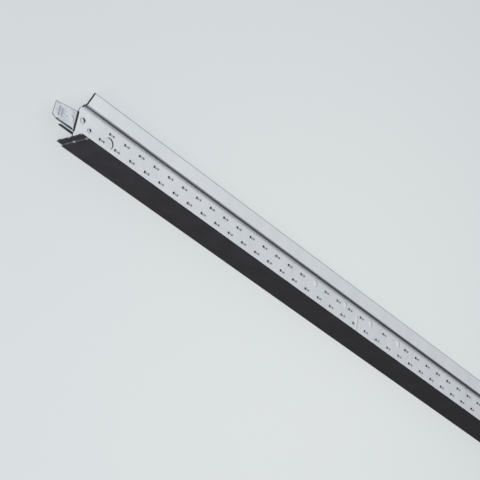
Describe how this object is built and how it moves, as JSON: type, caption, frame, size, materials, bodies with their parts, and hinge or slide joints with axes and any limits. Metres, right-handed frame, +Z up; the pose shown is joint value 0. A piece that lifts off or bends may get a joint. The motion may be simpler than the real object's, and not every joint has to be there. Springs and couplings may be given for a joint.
{
  "type": "ceiling grid tee",
  "caption": "Cross tee of a suspended ceiling grid: folded galvanised steel tee with hollow bulb, stitched web, black face cap and end clips.",
  "frame": {"origin": "centre of the tee's bounding box at floor level, below mid-length", "axes": "+X along the tee, from the pictured end to the far end; +Y toward the bulb, so that the black face looks to -Y; +Z up, with the tee lying on its side"},
  "size_m": [0.634, 0.0402, 0.0234],
  "materials": {
    "galvanised_steel": "satin galvanised",
    "black_painted_steel": "satin pre-painted",
    "zinc_plated_steel": "satin zinc plated"
  },
  "bodies": {
    "root": {"tee_body": "galvanised_steel", "face_cap": "black_painted_steel", "end_clip_left": "zinc_plated_steel", "end_clip_right": "zinc_plated_steel"}
  },
  "joints": []
}
